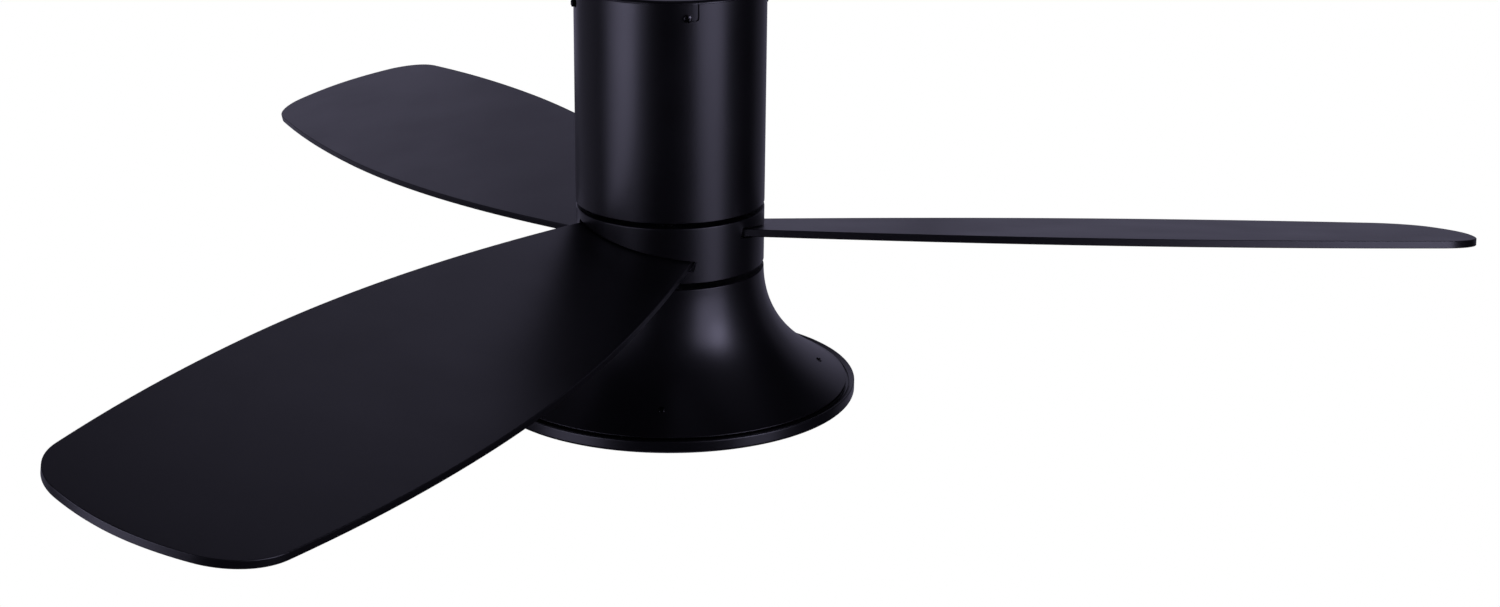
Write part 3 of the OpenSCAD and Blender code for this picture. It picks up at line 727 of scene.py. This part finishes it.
def make_bell():
    """The flared skirt, with a rounded lower edge and a flange inside its top."""
    n = 72
    edge = 0.7 * MM
    flange_r = 58 * MM
    slope = bell_slope(1)
    across = Vector((-slope.y, slope.x))
    middle = bell_point(1, BELL_WALL / 2)
    lip = []
    for k in range(9):
        a = math.pi * k / 8
        round_off = across * math.cos(a) + slope * 0.6 * math.sin(a)
        lip.append(middle + (BELL_WALL / 2) * round_off - slope * edge)
    outer = [bell_point(i / n) for i in range(n + 1)]
    outer = [p for p in outer if p.y < BELL_TOP - edge and (p - bell_point(1)).length > edge * 1.2]
    inner = [bell_point(i / n, BELL_WALL) for i in range(n, 0, -1)]
    inner = [p for p in inner if (p - bell_point(1, BELL_WALL)).length > edge * 1.2]
    crown = arc(HOUSING_R - edge, BELL_TOP - edge, edge, 90, 0, 6)
    flange_low = BELL_TOP - BELL_WALL
    flange = [(HOUSING_R - BELL_WALL, flange_low), (flange_r, flange_low), (flange_r, BELL_TOP)]
    bell = lathe("bell_shell", crown + [tuple(p) for p in outer + lip + inner] + flange, FINE)
    even_shading(bell, 45)
    finish_piece(bell, BLACK, "root", "black_metal", "light_bell")


def make_bell_screws():
    p = bell_point(BELL_SCREW_AT)
    slope = bell_slope(BELL_SCREW_AT)
    tilt = Matrix.Rotation(math.atan2(-slope.y, slope.x), 4, "Y")
    heads = []
    for k in range(SCREWS_ROUND):
        place = turned(BELL_SCREW_TURN + k * QUARTER) @ moved(p.x, 0, p.y) @ tilt
        heads.append(phillips_screw(place, head_r=2.6 * MM, head_h=1 * MM, dome=0.5 * MM,
                                    shank_r=1.5 * MM, shank=8 * MM))
    screws = join("bell_screw_set", heads)
    even_shading(screws, 40)
    finish_piece(screws, SCREW_BLACK, "root", "black_screw", "bell_screws")


LIP_TOP = BELL_LOW - 3.4 * MM
RING_DISH = 1.6 * MM


def make_trim_ring():
    """A round-edged ring, dished on top, with a lip inside that carries the tray."""
    inner = BELL_R + 1.9 * MM
    ledge = 139 * MM
    low_round, top_round, inner_round = 2.4 * MM, 1 * MM, 0.4 * MM
    lip_low = LIP_TOP - 1.5 * MM
    ease = 0.2 * MM
    profile = [(inner + 0.6 * MM, RING_LOW), (RING_R - low_round, RING_LOW)]
    profile += arc(RING_R - low_round, RING_LOW + low_round, low_round, -80, 0, 8)
    profile += arc(RING_R - top_round, RING_TOP - top_round, top_round, 0, 100, 8)
    profile += arc(inner + inner_round, RING_TOP - RING_DISH - inner_round, inner_round, 100, 180, 4)
    profile += [(inner, LIP_TOP), (ledge + ease, LIP_TOP), (ledge, LIP_TOP - ease), (ledge, lip_low + ease),
                (ledge + ease, lip_low), (inner, lip_low), (inner, RING_LOW + 0.6 * MM)]
    ring = lathe("trim_ring_bead", profile, FINE)
    even_shading(ring, 40)
    finish_piece(ring, TRIM_BLACK, "root", "black_trim", "trim_ring")


def make_lens():
    """A shallow dome with a flange under the ring, a neck inside it and three lugs."""
    wall = 1.8 * MM
    neck_wall = 2 * MM
    drop = RING_LOW - LENS_LOW
    neck = 134 * MM
    flange = RING_LOW + 1.7 * MM
    neck_top = LIP_TOP + 3.2 * MM
    ease = 0.3 * MM
    fillet = 0.4 * MM
    edge = 0.6 * MM

    def under(r):
        return LENS_LOW + (drop + 0.2 * MM) * (r / LENS_R) ** 2.6

    n = 28
    inside = neck - neck_wall
    profile = [(LENS_R * i / n, under(LENS_R * i / n)) for i in range(n)]
    profile += arc(LENS_R - edge, under(LENS_R) + edge, edge, -60, 0, 4)
    profile += [(LENS_R, flange - ease), (LENS_R - ease, flange), (neck + fillet, flange),
                (neck, flange + fillet), (neck, neck_top - ease), (neck - ease, neck_top),
                (inside + ease, neck_top), (inside, neck_top - ease)]
    profile += [(inside * i / n, under(inside * i / n) + wall) for i in range(n, -1, -1)]
    lens = lathe("opal_lens", profile, FINE, closed=False)
    lug_r = 136.1 * MM
    lug_t = 1.2 * MM
    half = math.radians(6)
    outline = []
    for r, sign in ((neck - 0.5 * MM, 1), (lug_r, -1)):
        for m in range(7):
            a = sign * (half - 2 * half * m / 6)
            outline.append((r * math.cos(a), r * math.sin(a)))
    lugs = []
    for k in range(3):
        place = turned(math.radians(60 + 120 * k)) @ moved(0, 0, neck_top - lug_t)
        lugs.append(prism("lug", outline, lug_t, place))
    lens = join("opal_lens", [lens] + lugs)
    even_shading(lens, 40)
    finish_piece(lens, OPAL, "diffuser", "opal", "diffuser")


make_bell()
make_bell_screws()
make_trim_ring()
make_lens()

# ---------------------------------------------------------------- studio


CAMERA_X, CAMERA_Y, CAMERA_ABOVE_RIM = -0.0007, -1.7648, 0.4918
CAMERA_RIGHT = math.radians(2.16)
CAMERA_DOWN = math.radians(18.24)
CAMERA_ROLL = math.radians(0.73)


def make_camera():
    """The viewpoint: above the blades, looking down at the hub, turned a little to the right."""
    data = bpy.data.cameras.new("camera")
    cam = add_object("camera", data)
    data.lens = 54.05
    data.sensor_width = 36
    data.clip_start = 0.01
    data.clip_end = 100
    cam.matrix_world = (moved(CAMERA_X, CAMERA_Y, RIM_Z + CAMERA_ABOVE_RIM)
                        @ Matrix.Rotation(-CAMERA_RIGHT, 4, "Z")
                        @ Matrix.Rotation(QUARTER - CAMERA_DOWN, 4, "X")
                        @ Matrix.Rotation(CAMERA_ROLL, 4, "Z"))
    bpy.context.scene.camera = cam


LIGHT_TINT = (0.90, 0.86, 1.24)
LIGHT_AWAY = 2.4
LIGHT_TARGET = Vector((0, 0, -0.2))


def softbox(name, azimuth, elevation, wide, tall, brightness):
    """A soft box aimed at the fan; angles in degrees as seen from it, azimuth 0 towards the camera."""
    a, e = math.radians(azimuth), math.radians(elevation)
    away = Vector((math.sin(a) * math.cos(e), -math.cos(a) * math.cos(e), math.sin(e)))
    data = bpy.data.lights.new(name, "AREA")
    data.shape = "RECTANGLE"
    data.size = 2 * LIGHT_AWAY * math.tan(math.radians(wide / 2)) * max(math.cos(e), 0.5)
    data.size_y = 2 * LIGHT_AWAY * math.tan(math.radians(tall / 2))
    data.energy = math.pi * data.size * data.size_y * brightness
    data.color = LIGHT_TINT
    lamp = add_object(name, data)
    lamp.location = LIGHT_TARGET + away * LIGHT_AWAY
    lamp.rotation_euler = (-away).to_track_quat("-Z", "Y").to_euler()
    lamp.visible_camera = False


def make_lights():
    """Each with its azimuth, elevation, width and height in degrees, and brightness."""
    softbox("left_key", -54, 0, 24, 22, 2.85)
    softbox("left_high", -40, 14, 20, 38, 1.15)
    softbox("left_low", -60, -22, 36, 22, 0.9)
    softbox("left_side", -72, 11, 12, 44, 1.3)
    softbox("right_key", 48, 11, 36, 44, 2.2)
    softbox("right_core", 55, 22, 12, 20, 4.0)
    softbox("right_low", 54, -22, 24, 22, 0.75)
    softbox("back_middle", 180, 22, 24, 48, 0.27)
    softbox("back_low", 180, -14, 24, 22, 0.2)
    softbox("back_left", -156, -2, 24, 48, 0.38)
    softbox("back_left_high", -156, 34, 24, 24, 0.15)
    softbox("side_left", -120, -2, 48, 48, 0.15)
    softbox("back_right", 156, -2, 24, 48, 0.23)
    softbox("side_right", 132, -2, 24, 48, 0.12)
    softbox("under", 0, -86, 50, 50, 0.5)
    softbox("top", 0, 88, 40, 40, 0.08)
    softbox("top_left", -90, 55, 60, 30, 0.08)
    softbox("top_right", 90, 55, 60, 30, 0.08)


def make_world():
    """A faint even light from all round."""
    world = bpy.data.worlds.new("studio_room")
    world.use_nodes = True
    bpy.context.scene.world = world
    tree = world.node_tree
    tree.nodes.clear()
    back = tree.nodes.new("ShaderNodeBackground")
    back.inputs["Color"].default_value = (0.94, 0.92, 1.0, 1)
    back.inputs["Strength"].default_value = 0.004
    out = tree.nodes.new("ShaderNodeOutputWorld")
    tree.links.new(back.outputs["Background"], out.inputs["Surface"])


def make_studio():
    """A white room with a flat floor, a coved wall and a domed top, which only the camera sees."""
    floor_z = -7.0
    wall_r = 14.0
    cove = 4.0
    wall_tall = 3.0
    profile = [(0.0, floor_z), (wall_r - cove, floor_z)]
    profile += arc(wall_r - cove, floor_z + cove, cove, -90, 0, 10)[1:]
    profile += arc(0.0, floor_z + cove + wall_tall, wall_r, 0, 90, 12)
    room = lathe("studio_floor", profile, 64, closed=False)
    mat = bpy.data.materials.new("studio_white")
    mat.use_nodes = True
    tree = mat.node_tree
    tree.nodes.clear()
    glow = tree.nodes.new("ShaderNodeEmission")
    glow.inputs["Strength"].default_value = 1.0
    out = tree.nodes.new("ShaderNodeOutputMaterial")
    tree.links.new(glow.outputs["Emission"], out.inputs["Surface"])
    dress(room, mat)
    room.visible_diffuse = False
    room.visible_glossy = False
    room.visible_transmission = False
    room.visible_shadow = False


make_camera()
make_lights()
make_world()
make_studio()
bpy.context.scene.view_settings.view_transform = "Standard"
